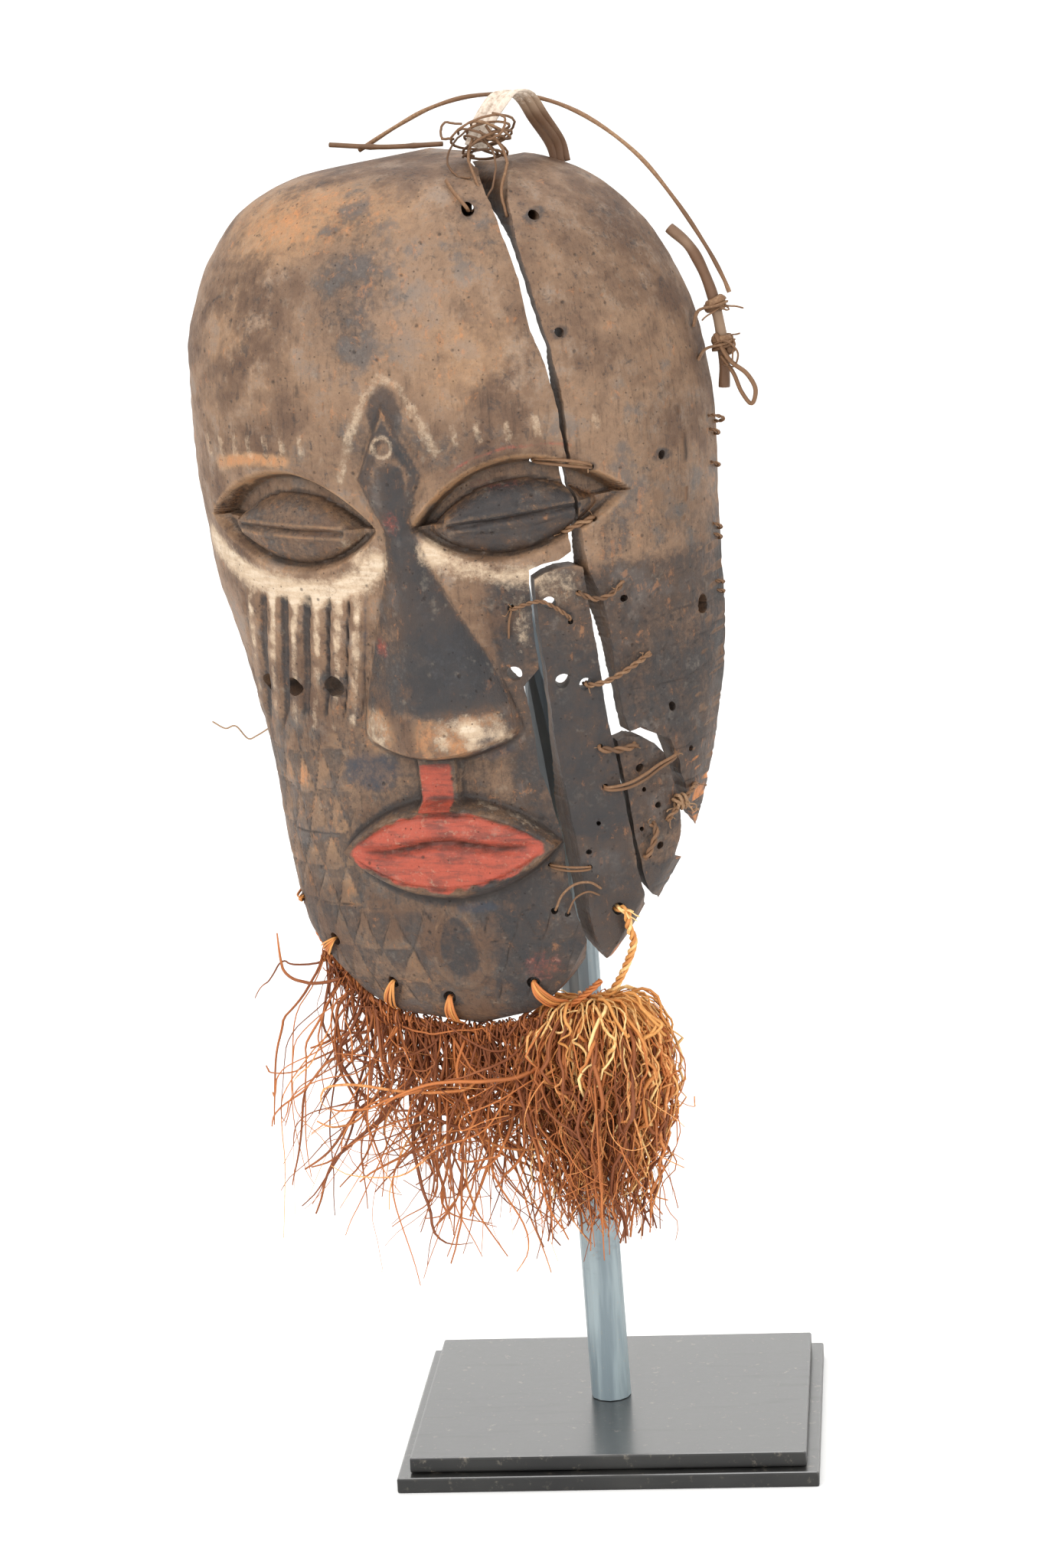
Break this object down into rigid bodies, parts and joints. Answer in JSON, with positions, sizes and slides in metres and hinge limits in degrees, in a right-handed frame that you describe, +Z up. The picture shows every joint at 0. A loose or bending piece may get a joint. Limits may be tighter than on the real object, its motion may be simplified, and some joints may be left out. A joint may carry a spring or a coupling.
{
  "type": "carved wooden face mask on stand",
  "caption": "Carved wooden face mask in broken boards laced together, with raffia beard and cane bindings, on a bent tube rising from a stepped base.",
  "frame": {"origin": "middle of the underside of the base's lower board", "axes": "+Z up along the stand, +Y away from the side that the mask faces, +X to the right of someone who looks at the mask's front, square to the base's long edges"},
  "size_m": [0.2257, 0.1597, 0.5363],
  "materials": {
    "satin_black_board": "satin black paint, dusty on top",
    "grey_plastic_tube": "satin pale blue-grey",
    "old_carved_wood": "dark worn patina with red, white and blue paint",
    "old_cane": "brown dry cane",
    "pale_split_cane": "pale split cane, scraped",
    "rust_raffia": "loose rust brown fibre",
    "golden_raffia": "twisted golden fibre"
  },
  "bodies": {
    "root": {"base_lower_board": "satin_black_board", "base_upper_board": "satin_black_board", "beard_cord": "golden_raffia", "beard_fringe": "rust_raffia", "beard_tuft": "rust_raffia", "crown_band": "pale_split_cane", "crown_hoop": "old_cane", "crown_knot": "old_cane", "crown_stick": "old_cane", "lace_eye_lower": "old_cane", "lace_eye_upper": "old_cane", "lace_face_slat_lower": "old_cane", "lace_face_slat_upper": "old_cane", "lace_jaw_lower": "old_cane", "lace_jaw_temple": "old_cane", "lace_slat_jaw_lower": "old_cane", "lace_slat_jaw_upper": "old_cane", "lace_slat_temple_middle": "old_cane", "lace_slat_temple_upper": "old_cane", "mask_cheek_slat": "old_carved_wood", "mask_face_board": "old_carved_wood", "mask_jaw_piece": "old_carved_wood", "mask_temple_board": "old_carved_wood", "rim_cane": "pale_split_cane", "rim_hanging_loop": "old_cane", "rim_tie_lower": "old_cane", "rim_tie_upper": "old_cane", "stand_tube": "grey_plastic_tube", "tuft_cord": "golden_raffia"}
  },
  "joints": []
}
